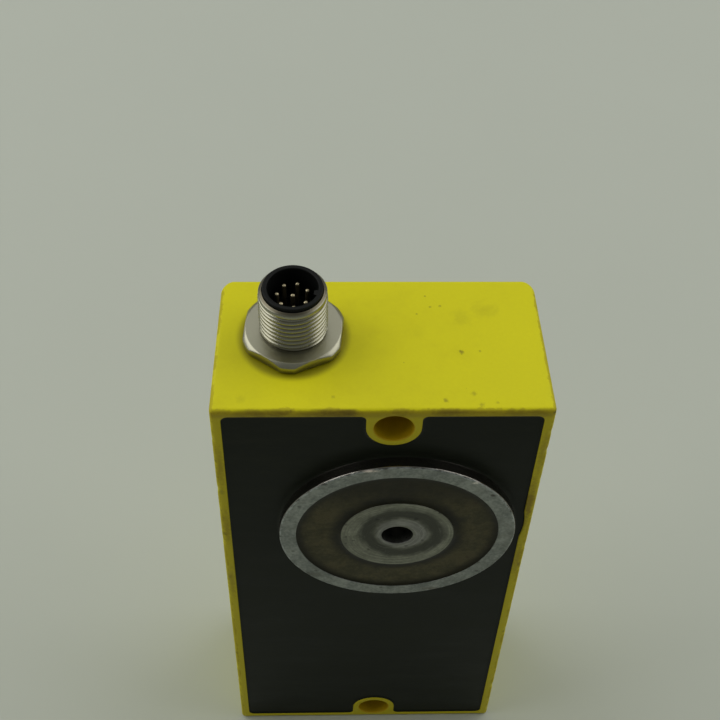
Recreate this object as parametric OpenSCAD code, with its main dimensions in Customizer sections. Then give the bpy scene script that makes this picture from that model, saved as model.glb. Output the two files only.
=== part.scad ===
// Electromagnetic door lock with a coded-tag reader, potted into a plastic tub.
// Millimetres. +Z up along the housing, the holding magnet faces -Y, +X to its right.
// The origin is on the bottom end, under the middle of the whole depth.

/* [Housing] */
// Height of the housing along Z
body_h = 120; // [116:1:140]
// Width across the open front edge
front_w = 58.6; // [58:0.1:62]
// Width across the closed back
back_w = 56.6; // [55.6:0.1:58]
// Depth from the front rim to the back face
body_d = 30; // [30:0.5:32]
// Thickness of the two long side walls
side_wall = 1.88; // [1.6:0.02:2.2]
// Thickness of the two end walls
end_wall = 1.7; // [1.5:0.1:2]
// Thickness of the back wall
back_wall = 2; // [1.8:0.1:2.4]

/* [Mounting holes] */
// Sideways offset of both mounting holes
hole_x = 1.95; // [0:0.05:3]
// Distance from each end to its mounting hole
hole_inset = 5; // [5:0.1:6]
// Radius of the mounting holes
hole_r = 3.4; // [3.2:0.1:3.5]
// Outer radius of the tube round each hole
boss_r = 4.8; // [4.6:0.1:5]

/* [Holding magnet] */
// Sideways offset of the magnet's axis
magnet_x = 3.78; // [2:0.1:4.2]
// Distance from the top end down to the magnet's axis
magnet_drop = 35.45; // [34:0.1:37]
// How far the magnet's face stands in front of the rim
magnet_proud = 2.2; // [1.5:0.1:3]
// Outer radius of the steel pot
pot_r = 22.1; // [21:0.1:22.5]
// Inner radius of the pot's ring
ring_inner_r = 18.93; // [18.5:0.1:19.2]
// Radius of the inner pole
pole_r = 10.6; // [10:0.1:11]
// Length of the pot along Y
pot_len = 26; // [25:0.5:26]
// Room kept free round the pot, which hollows the nearer side wall
pot_room = 1.9; // [1.9:0.1:2.2]

/* [Connector] */
// Sideways place of the connector's axis
conn_x = -15.2; // [-16:0.1:-15]
// Place of the connector's axis along Y
conn_y = 3.04; // [2:0.1:4]
// Outer radius of the M12 thread
thread_r = 6; // [5.9:0.05:6]
// Height of the insert's rim above the housing
insert_top = 12.2; // [11:0.1:13]
// Width of the hexagonal flange across its flats
flange_af = 17; // [17:0.5:18]

/* [Hidden] */

$fn = 96;
gap = 0.1;                                  // play between pieces that are slid together
over = 1;                                   // how far a cutter runs past the face it opens

// Planes of the stack along Y
face_y = -(body_d + magnet_proud) / 2;      // holding face of the magnet
rim_y = face_y + magnet_proud;              // front rim of the housing
back_y = rim_y + body_d;                    // back face of the housing
floor_y = back_y - back_wall;               // inside of the back wall
resin_recess = 0.3;                         // dark resin lies this far below the rim
resin_y = rim_y + resin_recess;
resin_back_y = -8;
pot_back_y = face_y + pot_len;
pot_base = 5;                               // thickness of the pot's bottom
coil_floor_y = pot_back_y - pot_base;

// Side walls lean in by this angle towards the back
draft = atan((front_w - back_w) / 2 / body_d);
back_edge_r = 2.7;
front_edge_r = 0.7;
inner_edge_r = 1.5;

hole_z = [hole_inset, body_h - hole_inset];
magnet_z = body_h - magnet_drop;
pad_r = 8;                                  // pad on the back wall that the pot stands on
screw_r = 2.5;
screw_head_r = 5;
screw_tip_y = -4;
pole_hole_r = 2.55;
pole_mouth_r = 2.95;                        // the pole's hole is wider in front of the screw

label_w = 42;
label_h = 30;
label_recess = 0.3;
label_t = 0.2;

// Connector heights above the bottom end
flange_gap = 0.3;
flange_z = body_h + flange_gap;
flange_t = 1.9;
flange_round_r = 9.3;                       // the hexagon's corners are turned off to this radius
flange_turn = 24;                           // one corner lies at this angle from +X
shell_top_z = body_h + insert_top - 0.65;
insert_top_z = body_h + insert_top;
insert_r = 5.2;
insert_bottom_z = body_h - 8;
socket_r = 4.35;
socket_depth = 7;
tail_r = 7;                                 // thread behind the flange
tail_len = 9;
bottom_bore_r = 5.25;
lead_chamfer = 0.45;
pin_r = 0.4;
pin_circle_r = 2.75;
pin_top_z = insert_top_z - 1.86;
pin_bottom_z = body_h - 13;
pin_start = 74;                             // first pin's angle from +X
pin_steps = [0, 50, 110, 160, 210, 260, 310];
key_angle = -5;
seal_z = body_h - 2.5;
seal_r = 0.45;
ring_section_r = 0.55;
ring_centre_r = 7.7;

nut_t = 3;
nut_af = 18;

// Boards
board_t = 1.6;
small_board_z = body_h - 12.4;
small_board = [13.4, 12];
board_y = 4;                                // front side of the main board
board_w = 50;
board_z = [11, 58];
post_r = 2.6;
post_x = 21.5;
post_z = [15, 54];
board_screw_r = 1;

antenna_z = 33;
antenna_r = 14;
antenna_front_y = resin_y + 1.2;
antenna_t = 3.4;
winding_in = 9.5;
winding_out = 12;

// Ribbon between the boards, flat against the side channel, and its socket on the main board
ribbon_x = conn_x - small_board[0] / 2;
ribbon_t = 0.5;
ribbon_y = [-4, 2.5];
ribbon_foot_z = 37;
header = [2.5, 7.5, 8];

light_z = [24, 30];
light_y = -2;
light_r = 1.5;
light_recess = 0.2;
led_x = 21;
led_size = [2, 2.6];                        // thickness along X, and width

// Components on the main board: places along X, places along Z, and size
chip_x = [-9, 7];
chip_z = 44;
chip = [10, 1.4, 10];
transistor_x = -16;
transistor_z = [20, 29];
transistor = [6.6, 2.3, 6.1];
capacitor_x = [-6, 4];
capacitor_z = 18;
capacitor_r = 4;
capacitor_len = 8;
inductor_place = [-6, 31];
inductor = [8, 4, 8];
diode_place = [13, 31];
diode = [4, 2.4, 7];
crystal_place = [4, 33];
crystal = [3.2, 1, 5];

// Coil of the magnet and the two wires out of it
coil_front_y = face_y + 2.8;
bobbin_wall = 1;
winding_play = 0.8;                         // the winding stops short of the bobbin's rim
lead_hole = [magnet_x - 10.6, magnet_z - 10.6];
lead_hole_r = 1.9;
lead_space = 1.6;
lead_r = 0.6;
lead_turn_y = pot_back_y + 1.8;
lead_foot_z = 50;
antenna_lead_x = [-2, 2];
antenna_lead_z = antenna_z - winding_in - 1;
antenna_floor = 1;                          // ferrite left behind the antenna's winding

// Half the housing's width at a given Y
function half_w(y) = front_w / 2 - (y - rim_y) * tan(draft);

// Radius of the room round the pot at a given Y, drafted like the walls
function room_r(y) = pot_r + pot_room - (y - rim_y) * tan(draft);

// Points on an arc round [x, y], from angle a0 to a1
function arc(x, y, r, a0, a1, n = 8) =
    [for (i = [0:n]) let (a = a0 + (a1 - a0) * i / n) [x + r * cos(a), y + r * sin(a)]];

// Right half of a drafted section between y0 and y1, set in from the outer wall,
// with corners of radius r0 at the front and r1 at the back
function half_outline(inset, y0, y1, r0, r1) = concat(
    arc(half_w(y0 + r0) - (inset + r0) / cos(draft), y0 + r0, r0, -90, draft),
    arc(half_w(y1 - r1) - (inset + r1) / cos(draft), y1 - r1, r1, draft, 90));

function mirrored(points) = [for (i = [len(points) - 1:-1:0]) [-points[i][0], points[i][1]]];

// Drafted block from z0 to z1
module drafted(inset, y0, y1, r0, r1, z0, z1) {
    right = half_outline(inset, y0, y1, r0, r1);
    translate([0, 0, z0])
        linear_extrude(z1 - z0) polygon(concat(right, mirrored(right)));
}

// Cylinder along Y from y0 to y1, round the axis [x, z]
module along_y(x, z, y0, y1, r1, r2 = -1) {
    translate([x, y0, z]) rotate([-90, 0, 0])
        cylinder(h = y1 - y0, r1 = r1, r2 = r2 < 0 ? r1 : r2);
}

module at_magnet(y0, y1, r1, r2 = -1) {
    along_y(magnet_x, magnet_z, y0, y1, r1, r2);
}

// Cylinder along Z on the connector's axis
module at_connector(z0, z1, r1, r2 = -1) {
    translate([conn_x, conn_y, z0])
        cylinder(h = z1 - z0, r1 = r1, r2 = r2 < 0 ? r1 : r2);
}

// Torus round the connector's axis
module ring_seal(z, centre_r, section_r) {
    translate([conn_x, conn_y, z])
        rotate_extrude() translate([centre_r, 0]) circle(r = section_r, $fn = 32);
}

// Box between two corners
module block(low, high) {
    translate(low) cube(high - low);
}

// Boss round one mounting hole, with straight flanks back to its end wall
module hole_boss(z) {
    end_z = z > body_h / 2 ? body_h - end_wall / 2 : end_wall / 2;
    along_y(hole_x, z, rim_y, floor_y + over, boss_r);
    block([hole_x - boss_r, rim_y, min(z, end_z)], [hole_x + boss_r, floor_y + over, max(z, end_z)]);
}

module both_bosses() {
    for (z = hole_z) hole_boss(z);
}

// Inside of the tub, with a shallow hollow in the side wall beside the magnet
module tub_inside(y0, y1) {
    drafted(side_wall, y0, y1, 0.3, inner_edge_r, end_wall, body_h - end_wall);
    at_magnet(y0, y1, room_r(y0), room_r(y1));
}

module board_posts() {
    for (x = [-post_x, post_x], z = post_z)
        difference() {
            along_y(x, z, board_y + board_t, floor_y + over, post_r);
            along_y(x, z, board_y, floor_y - 2, board_screw_r);
        }
}

module housing() {
    color([0.73, 0.71, 0.15])
    difference() {
        union() {
            difference() {
                drafted(0, rim_y, back_y, front_edge_r, back_edge_r, 0, body_h);
                tub_inside(rim_y - over, floor_y);
            }
            both_bosses();
            at_magnet(pot_back_y, floor_y + over, pad_r);
            board_posts();
        }
        for (z = hole_z) along_y(hole_x, z, rim_y - over, back_y + over, hole_r);
        at_magnet(pot_back_y - over, back_y, screw_r + gap);
        at_magnet(back_y - label_recess - screw_head_r + screw_r, back_y - label_recess,
            screw_r, screw_head_r);
        block([magnet_x - label_w / 2, back_y - label_recess, magnet_z - label_h / 2],
            [magnet_x + label_w / 2, back_y + over, magnet_z + label_h / 2]);
        at_connector(body_h - 2 * end_wall, body_h + over, tail_r + gap);
        difference() {
            at_connector(body_h - 2 * ring_section_r + flange_gap, body_h + over,
                ring_centre_r + ring_section_r);
            at_connector(body_h - end_wall, body_h + 2 * over, ring_centre_r - ring_section_r);
        }
        for (z = light_z) translate([led_x, light_y, z]) rotate([0, 90, 0])
            cylinder(h = front_w, r = light_r);
    }
}

module potting_cap() {
    color([0.10, 0.11, 0.10])
    difference() {
        intersection() {
            tub_inside(rim_y - over, floor_y);
            block([-front_w, resin_y, 0], [front_w, resin_back_y, body_h]);
        }
        at_magnet(face_y, resin_back_y + over, pot_r);
        both_bosses();
        along_y(0, antenna_z, antenna_front_y, resin_back_y + over, antenna_r);
    }
}

module rating_label() {
    color([0.80, 0.80, 0.78])
    block([magnet_x - label_w / 2 + gap, back_y - label_recess, magnet_z - label_h / 2 + gap],
        [magnet_x + label_w / 2 - gap, back_y - label_recess + label_t,
            magnet_z + label_h / 2 - gap]);
}

module magnet_pot() {
    color([0.45, 0.46, 0.48])
    difference() {
        at_magnet(face_y, pot_back_y, pot_r);
        at_magnet(face_y - over, coil_floor_y, ring_inner_r);
        at_magnet(face_y, pot_back_y + over, screw_r + gap);
        along_y(lead_hole[0], lead_hole[1], face_y, pot_back_y + over, lead_hole_r);
    }
}

module magnet_core() {
    color([0.42, 0.43, 0.45])
    difference() {
        at_magnet(face_y, coil_floor_y, pole_r);
        at_magnet(face_y - over, coil_floor_y + over, pole_hole_r);
        at_magnet(face_y - over, screw_tip_y - over, pole_mouth_r);
    }
}

module coil_bobbin() {
    color([0.85, 0.83, 0.75])
    difference() {
        at_magnet(coil_front_y, coil_floor_y, ring_inner_r - gap);
        at_magnet(coil_front_y - over, coil_floor_y + over, pole_r + gap);
        difference() {
            at_magnet(coil_front_y + bobbin_wall, coil_floor_y - bobbin_wall, ring_inner_r + over);
            at_magnet(coil_front_y, coil_floor_y, pole_r + gap + bobbin_wall);
        }
        along_y(lead_hole[0], lead_hole[1], coil_floor_y - bobbin_wall - gap,
            coil_floor_y + over, lead_hole_r);
    }
}

module coil_winding() {
    color([0.60, 0.30, 0.12])
    difference() {
        at_magnet(coil_front_y + bobbin_wall, coil_floor_y - bobbin_wall, ring_inner_r - winding_play);
        at_magnet(coil_front_y, coil_floor_y, pole_r + gap + bobbin_wall);
    }
}

module coil_resin() {
    color([0.20, 0.17, 0.10])
    difference() {
        at_magnet(face_y + resin_recess, coil_front_y, ring_inner_r);
        at_magnet(face_y, coil_front_y + over, pole_r);
    }
}

// Round wire through a list of points
module wire(points, r) {
    for (i = [0:len(points) - 2]) {
        leg = points[i + 1] - points[i];
        flat = norm([leg[0], leg[1]]);
        translate(points[i])
            rotate([0, atan2(flat, leg[2]), flat == 0 ? 0 : atan2(leg[1], leg[0])])
            cylinder(h = norm(leg), r = r, $fn = 24);
        if (i > 0) translate(points[i]) sphere(r = r, $fn = 24);
    }
}

// Two wires run behind the pot, down past the top of the main board and into its back
module coil_leads() {
    color([0.70, 0.12, 0.10])
    for (side = [-1, 1]) {
        x = lead_hole[0] + side * lead_space / 2;
        wire([[x, coil_floor_y - bobbin_wall, lead_hole[1]], [x, lead_turn_y, lead_hole[1]],
            [x, lead_turn_y, lead_foot_z], [x, board_y + board_t, lead_foot_z]], lead_r);
    }
}

module magnet_screw() {
    head_y = back_y - label_recess;
    color([0.65, 0.65, 0.66])
    difference() {
        union() {
            at_magnet(screw_tip_y, head_y - 0.5, screw_r);
            at_magnet(head_y - screw_head_r + screw_r, head_y, screw_r, screw_head_r);
        }
        translate([magnet_x, head_y - 2, magnet_z]) rotate([-90, 0, 0])
            cylinder(h = 2 + over, r = 1.73, $fn = 6);
    }
}

// Hexagon of the given width across flats, on the connector's axis
module hexagon(af, z0, z1, turn) {
    translate([conn_x, conn_y, z0]) rotate([0, 0, turn])
        cylinder(h = z1 - z0, r = af / 2 / cos(30), $fn = 6);
}

module connector_shell() {
    flange_top_z = flange_z + flange_t;
    color([0.62, 0.61, 0.56])
    difference() {
        union() {
            intersection() {
                hexagon(flange_af, flange_z, flange_top_z, flange_turn);
                at_connector(flange_z, flange_top_z, flange_round_r);
            }
            at_connector(flange_z, shell_top_z - lead_chamfer, thread_r);
            at_connector(shell_top_z - lead_chamfer, shell_top_z, thread_r, thread_r - lead_chamfer);
            at_connector(body_h - tail_len, flange_z + flange_t / 2, tail_r);
        }
        at_connector(body_h - tail_len - over, shell_top_z + over, bottom_bore_r);
    }
}

module connector_insert() {
    color([0.06, 0.06, 0.07])
    difference() {
        union() {
            difference() {
                at_connector(insert_bottom_z, insert_top_z, insert_r);
                at_connector(insert_top_z - socket_depth, insert_top_z + over, socket_r);
            }
            // Key that sets the coding, a rib down the wall of the socket
            translate([conn_x, conn_y, insert_top_z - socket_depth - gap]) rotate([0, 0, key_angle])
                block([socket_r - 0.75, -0.6, 0], [socket_r + gap, 0.6, socket_depth - 1.2]);
        }
        difference() {
            at_connector(seal_z - seal_r, seal_z + seal_r, insert_r + over);
            at_connector(seal_z - over, seal_z + over, bottom_bore_r - 2 * seal_r);
        }
        for (i = [1:8]) pin_rod(i, insert_bottom_z - over, insert_top_z);
    }
}

// Centre of pin i: seven on a circle, with the gap at the key, and the eighth in the middle
function pin_place(i) = i == 8 ? [0, 0] :
    pin_circle_r * [cos(pin_start - pin_steps[i - 1]), sin(pin_start - pin_steps[i - 1])];

module pin_rod(i, z0, z1) {
    place = pin_place(i);
    translate([conn_x + place[0], conn_y + place[1], z0])
        cylinder(h = z1 - z0, r = pin_r, $fn = 32);
}

// Contact pin with a chamfered tip
module contact_pin(i) {
    place = pin_place(i);
    tip = 0.25;
    color([0.78, 0.68, 0.42]) {
        pin_rod(i, pin_bottom_z, pin_top_z - tip);
        translate([conn_x + place[0], conn_y + place[1], pin_top_z - tip])
            cylinder(h = tip, r1 = pin_r, r2 = pin_r / 2, $fn = 32);
    }
}

module flange_o_ring() {
    color([0.08, 0.08, 0.08])
    ring_seal(flange_z - ring_section_r, ring_centre_r, ring_section_r);
}

module insert_seal() {
    color([0.45, 0.12, 0.10])
    ring_seal(seal_z, bottom_bore_r - seal_r, seal_r);
}

module connector_locknut() {
    nut_top_z = body_h - end_wall;
    color([0.60, 0.59, 0.55])
    difference() {
        hexagon(nut_af, nut_top_z - nut_t, nut_top_z, 0);
        at_connector(nut_top_z - nut_t - over, nut_top_z + over, tail_r);
    }
}

module connector_board() {
    half = small_board / 2;
    color([0.10, 0.35, 0.18])
    difference() {
        block([conn_x - half[0], conn_y - half[1], small_board_z],
            [conn_x + half[0], conn_y + half[1], small_board_z + board_t]);
        for (i = [1:8]) pin_rod(i, small_board_z - over, small_board_z + board_t + over);
    }
}

module ribbon_cable() {
    color([0.75, 0.55, 0.20])
    block([ribbon_x - ribbon_t, ribbon_y[0], ribbon_foot_z],
        [ribbon_x, ribbon_y[1], small_board_z + board_t]);
}

module ribbon_header() {
    color([0.12, 0.12, 0.12])
    block([ribbon_x, board_y - header[1], ribbon_foot_z],
        [ribbon_x + header[0], board_y, ribbon_foot_z + header[2]]);
}

module main_board() {
    color([0.10, 0.35, 0.18])
    difference() {
        block([-board_w / 2, board_y, board_z[0]], [board_w / 2, board_y + board_t, board_z[1]]);
        for (x = [-post_x, post_x], z = post_z)
            along_y(x, z, board_y - over, board_y + board_t + over, board_screw_r + gap);
    }
}

// Component body of the given size, standing on the board's front side
module on_board(place, size) {
    block([place[0] - size[0] / 2, board_y - size[1], place[1] - size[2] / 2],
        [place[0] + size[0] / 2, board_y, place[1] + size[2] / 2]);
}

module microcontrollers() {
    color([0.12, 0.12, 0.13])
    for (x = chip_x) on_board([x, chip_z], chip);
}

module output_transistors() {
    color([0.13, 0.13, 0.14])
    for (z = transistor_z) on_board([transistor_x, z], transistor);
}

module buffer_capacitors() {
    color([0.70, 0.70, 0.72])
    for (x = capacitor_x) along_y(x, capacitor_z, board_y - capacitor_len, board_y, capacitor_r);
}

module power_inductor() {
    color([0.25, 0.25, 0.27])
    on_board(inductor_place, inductor);
}

module suppressor_diode() {
    color([0.10, 0.10, 0.10])
    on_board(diode_place, diode);
}

module clock_crystal() {
    color([0.75, 0.75, 0.75])
    on_board(crystal_place, crystal);
}

module antenna_former() {
    color([0.20, 0.20, 0.22])
    difference() {
        along_y(0, antenna_z, antenna_front_y, antenna_front_y + antenna_t, antenna_r);
        difference() {
            along_y(0, antenna_z, antenna_front_y - over,
                antenna_front_y + antenna_t - antenna_floor, winding_out);
            along_y(0, antenna_z, antenna_front_y - 2 * over, antenna_front_y + antenna_t, winding_in);
        }
        for (x = antenna_lead_x) along_y(x, antenna_lead_z, antenna_front_y,
            antenna_front_y + antenna_t + over, lead_r);
    }
}

module antenna_coil() {
    color([0.62, 0.32, 0.14])
    difference() {
        along_y(0, antenna_z, antenna_front_y, antenna_front_y + antenna_t - antenna_floor,
            winding_out);
        along_y(0, antenna_z, antenna_front_y - over, antenna_front_y + antenna_t, winding_in);
    }
}

module antenna_leads() {
    color([0.62, 0.32, 0.14])
    for (x = antenna_lead_x) along_y(x, antenna_lead_z,
        antenna_front_y + antenna_t - antenna_floor, board_y, lead_r);
}

module status_leds() {
    color([0.85, 0.90, 0.80])
    for (z = light_z) block([led_x - led_size[0], light_y - led_size[1] / 2, z - led_size[1] / 2],
        [led_x, board_y, z + led_size[1] / 2]);
}

module light_pipes() {
    color([0.90, 0.90, 0.88])
    for (z = light_z) translate([led_x, light_y, z]) rotate([0, 90, 0])
        cylinder(h = half_w(light_y) - led_x - light_recess, r = light_r);
}

module board_screws() {
    color([0.70, 0.70, 0.72])
    for (x = [-post_x, post_x], z = post_z) {
        along_y(x, z, board_y - 1.3, board_y, 1.9);
        along_y(x, z, board_y, board_y + 7, board_screw_r);
    }
}

housing();
potting_cap();
rating_label();
magnet_pot();
magnet_core();
coil_bobbin();
coil_winding();
coil_resin();
coil_leads();
magnet_screw();
connector_shell();
connector_insert();
flange_o_ring();
insert_seal();
connector_locknut();
contact_pin(1);  // contact_pin_1
contact_pin(2);  // contact_pin_2
contact_pin(3);  // contact_pin_3
contact_pin(4);  // contact_pin_4
contact_pin(5);  // contact_pin_5
contact_pin(6);  // contact_pin_6
contact_pin(7);  // contact_pin_7
contact_pin(8);  // contact_pin_8
connector_board();
ribbon_cable();
ribbon_header();
main_board();
microcontrollers();
output_transistors();
buffer_capacitors();
power_inductor();
suppressor_diode();
clock_crystal();
antenna_former();
antenna_coil();
antenna_leads();
status_leds();
light_pipes();
board_screws();
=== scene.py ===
# Door-lock body with a pot magnet and an M12 connector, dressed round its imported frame.
# Lengths are in millimetres until a mesh is built, which is when they become metres.
import math

import bmesh
import bpy
import numpy as np
from mathutils import Matrix, Vector
from mathutils.geometry import tessellate_polygon


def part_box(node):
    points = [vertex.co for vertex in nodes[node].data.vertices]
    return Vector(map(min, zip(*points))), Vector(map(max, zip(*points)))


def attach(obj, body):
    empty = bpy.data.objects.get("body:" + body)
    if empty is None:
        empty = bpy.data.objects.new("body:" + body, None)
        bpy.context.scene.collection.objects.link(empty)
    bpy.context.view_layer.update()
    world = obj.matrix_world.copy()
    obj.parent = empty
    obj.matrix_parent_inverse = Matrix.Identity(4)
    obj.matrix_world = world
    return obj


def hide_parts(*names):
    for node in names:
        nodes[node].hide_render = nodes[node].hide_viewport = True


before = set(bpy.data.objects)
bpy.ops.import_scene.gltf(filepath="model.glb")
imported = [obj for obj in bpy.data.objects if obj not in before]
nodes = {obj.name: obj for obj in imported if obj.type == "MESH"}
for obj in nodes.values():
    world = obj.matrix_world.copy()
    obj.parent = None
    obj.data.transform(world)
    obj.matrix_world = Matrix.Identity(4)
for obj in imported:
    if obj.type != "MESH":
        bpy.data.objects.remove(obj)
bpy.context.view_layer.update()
mm = 0.001
print("frame loaded:", len(nodes), "nodes")


def cornersOf(node):
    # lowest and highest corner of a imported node, in millimetres
    low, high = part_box(node)
    return np.array(low) / mm, np.array(high) / mm


# camera: looks down on the top end from the magnet's side
view = dict(
    lens=63.995,
    yaw=2.945,
    pitch=50.333,
    roll=2.140,
    distance=226.76,
    target=(-3.528, 1.100, 115.294),
)


def placeCamera(v):
    # forward leans down by the pitch; right and up are then turned about it by the roll
    yaw, pitch, roll = (math.radians(v[k]) for k in ("yaw", "pitch", "roll"))
    forward = Vector((math.sin(yaw) * math.cos(pitch), math.cos(yaw) * math.cos(pitch), -math.sin(pitch)))
    level = Vector((math.cos(yaw), -math.sin(yaw), 0))
    above = level.cross(forward)
    right = math.cos(roll) * level + math.sin(roll) * above
    up = -math.sin(roll) * level + math.cos(roll) * above
    data = bpy.data.cameras.new("camera")
    data.lens = v["lens"]
    data.sensor_width = 36
    data.clip_start = 0.01
    data.clip_end = 20
    camera = bpy.data.objects.new("camera", data)
    bpy.context.collection.objects.link(camera)
    place = (Vector(v["target"]) - v["distance"] * forward) * mm
    turn = Matrix((right, up, -forward)).transposed().to_4x4()
    camera.matrix_world = Matrix.Translation(place) @ turn
    bpy.context.scene.camera = camera


placeCamera(view)

# mesh tools


def filletLoop(corners, steps):
    # Each corner (a, b, radius) of a closed polygon becomes an arc tangent to its two edges.
    # The arc's centre lies on the bisector, radius / sin(half angle) from the corner.
    table = np.array(corners, float)
    points, radius = table[:, :2], table[:, 2]
    back = np.roll(points, 1, 0) - points
    ahead = np.roll(points, -1, 0) - points
    back /= np.linalg.norm(back, axis=1)[:, None]
    ahead /= np.linalg.norm(ahead, axis=1)[:, None]
    half = np.arccos(np.clip((back * ahead).sum(1), -1, 1)) / 2
    bisector = back + ahead
    bisector /= np.linalg.norm(bisector, axis=1)[:, None]
    centre = points + bisector * (radius / np.sin(half))[:, None]
    reach = (radius / np.tan(half))[:, None]
    first = points + back * reach - centre
    last = points + ahead * reach - centre
    start = np.arctan2(first[:, 1], first[:, 0])
    sweep = np.arctan2(last[:, 1], last[:, 0]) - start
    sweep = (sweep + np.pi) % (2 * np.pi) - np.pi
    angle = start[:, None] + sweep[:, None] * np.linspace(0, 1, steps + 1)
    arcs = centre[:, None, :] + radius[:, None, None] * np.stack([np.cos(angle), np.sin(angle)], -1)
    return arcs.reshape(-1, 2)


def atDepth(loop, y):
    # a loop of (x, z) points laid in the plane at y
    return np.stack([loop[:, 0], np.full(len(loop), float(y)), loop[:, 1]], -1)


def circleLoop(x, z, radius, count):
    # count points round (x, z)
    angle = np.arange(count) * 2 * np.pi / count
    return np.stack([x + radius * np.cos(angle), z + radius * np.sin(angle)], -1)


class Shell:
    # Vertices and faces of one piece, gathered patch by patch and welded at the end

    def __init__(self):
        self.points, self.quads, self.triangles, self.count = [], [], [], 0

    def band(self, rows, closeRows=False):
        # quads between neighbouring rows of equal length, each row a closed ring
        grid = np.stack([np.asarray(r, float) for r in rows])
        rowCount, ringCount = grid.shape[:2]
        index = np.arange(rowCount * ringCount).reshape(rowCount, ringCount) + self.count
        index = np.concatenate([index, index[:, :1]], 1)
        if closeRows:
            index = np.concatenate([index, index[:1]], 0)
        quads = np.stack([index[:-1, :-1], index[1:, :-1], index[1:, 1:], index[:-1, 1:]], -1)
        self.quads.append(quads.reshape(-1, 4))
        self.points.append(grid.reshape(-1, 3))
        self.count += rowCount * ringCount

    def face(self, outline, holes=()):
        # a flat face inside outline, with each hole left open
        loops = [np.asarray(outline, float)] + [np.asarray(h, float) for h in holes]
        found = tessellate_polygon([[Vector(p) for p in loop] for loop in loops])
        self.triangles.append(np.array(found, int).reshape(-1, 3) + self.count)
        self.points.append(np.concatenate(loops))
        self.count += sum(len(loop) for loop in loops)

    def build(self, name, sharpAngle=38):
        mesh = bpy.data.meshes.new(name)
        faces = [f for quads in self.quads for f in quads.tolist()]
        faces += [f for tris in self.triangles for f in tris.tolist()]
        mesh.from_pydata((np.concatenate(self.points) * mm).tolist(), [], faces)
        finishMesh(mesh, sharpAngle)
        piece = bpy.data.objects.new(name, mesh)
        bpy.context.collection.objects.link(piece)
        return piece


def finishMesh(mesh, sharpAngle):
    # welds the seams, turns every face outwards, and keeps only the real edges sharp
    work = bmesh.new()
    work.from_mesh(mesh)
    bmesh.ops.remove_doubles(work, verts=work.verts, dist=0.0015 * mm)
    bmesh.ops.dissolve_degenerate(work, edges=work.edges, dist=0.0005 * mm)
    bmesh.ops.recalc_face_normals(work, faces=work.faces)
    work.to_mesh(mesh)
    work.free()
    mesh.polygons.foreach_set("use_smooth", np.ones(len(mesh.polygons), bool))
    mesh.set_sharp_from_angle(angle=math.radians(sharpAngle))
    mesh.update()


def evenNormals(piece):
    # large flat faces keep their own direction next to a rounded edge
    weighted = piece.modifiers.new("even", "WEIGHTED_NORMAL")
    weighted.keep_sharp = True
    weighted.weight = 50


def cut(piece, cutter, sharpAngle=38):
    # takes the cutter's volume out of the piece and keeps the result as its mesh
    opening = piece.modifiers.new("cut", "BOOLEAN")
    opening.operation = "DIFFERENCE"
    opening.solver = "EXACT"
    opening.object = cutter
    depsgraph = bpy.context.evaluated_depsgraph_get()
    result = bpy.data.meshes.new_from_object(piece.evaluated_get(depsgraph))
    piece.modifiers.remove(opening)
    piece.data = result
    bpy.data.objects.remove(cutter)
    finishMesh(result, sharpAngle)


def lathe(name, profile, centre, axis="Y", count=128, closed=True):
    # A profile of (radius, height) points is carried round an axis through centre.
    # A closed profile joins its last point to its first; an open one ends on the axis.
    angle = np.arange(count) * 2 * np.pi / count
    radius, height = np.asarray(profile, float).T[:, :, None]
    across = radius * np.cos(angle)
    along = radius * np.sin(angle)
    height = height + 0 * angle
    if axis == "Y":
        rows = np.stack([centre[0] + across, height, centre[2] + along], -1)
    elif axis == "Z":
        rows = np.stack([centre[0] + across, centre[1] + along, height], -1)
    else:
        rows = np.stack([height, centre[1] + across, centre[2] + along], -1)
    shell = Shell()
    shell.band(rows, closeRows=closed)
    return shell.build(name)


def dress(piece, replaced, material, body="root", flats=True):
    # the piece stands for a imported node, rides on its body and takes its finish
    if flats:
        evenNormals(piece)
    piece.data.materials.clear()
    piece.data.materials.append(material)
    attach(piece, body)
    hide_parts(replaced)


# node tools for materials


class Value:
    # An output of a node. A sum, difference, product or quotient of it is one more maths node.
    __array_ufunc__ = None

    def __init__(self, socket):
        self.socket = socket

    def at(self, output):
        # another output of the same node
        return Value(self.socket.node.outputs[output])


def connect(socket, value):
    # an input takes a number, a vector, a colour or the output of a node
    if isinstance(value, Value):
        socket.id_data.links.new(value.socket, socket)
    else:
        socket.default_value = (*value, 1) if socket.type == "RGBA" else value


def put(kind, inputs, output=0, **settings):
    # adds a node beside the ones that feed it and hands back one of its outputs
    tree = next(v.socket.id_data for v in inputs.values() if isinstance(v, Value))
    node = tree.nodes.new(kind)
    for key, value in settings.items():
        setattr(node, key, value)
    for key, value in inputs.items():
        connect(node.inputs[key], value)
    return Value(node.outputs[output])


def maths(operation, *values, clamp=False):
    return put("ShaderNodeMath", dict(enumerate(values)), operation=operation, use_clamp=clamp)


for word, operation in dict(add="ADD", sub="SUBTRACT", mul="MULTIPLY", truediv="DIVIDE").items():
    setattr(Value, f"__{word}__", lambda own, other, kind=operation: maths(kind, own, other))
    setattr(Value, f"__r{word}__", lambda own, other, kind=operation: maths(kind, other, own))


def distance(first, second):
    # square root of the sum of the squares
    return maths("SQRT", maths("POWER", first, 2.0) + maths("POWER", second, 2.0))


def remap(value, low, high, outLow=0.0, outHigh=1.0):
    # moves the span low..high of a value to outLow..outHigh, softly at both ends
    spans = dict(enumerate((value, low, high, outLow, outHigh)))
    return put("ShaderNodeMapRange", spans, interpolation_type="SMOOTHSTEP")


def blend(amount, first, second):
    # mixes two colours
    return put("ShaderNodeMix", {0: amount, 6: first, 7: second}, 2, data_type="RGBA")


def paint(base, *layers):
    # lays tints over a base in turn, each by its own amount
    for amount, tint in layers:
        base = blend(amount, base, tint)
    return base


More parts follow.
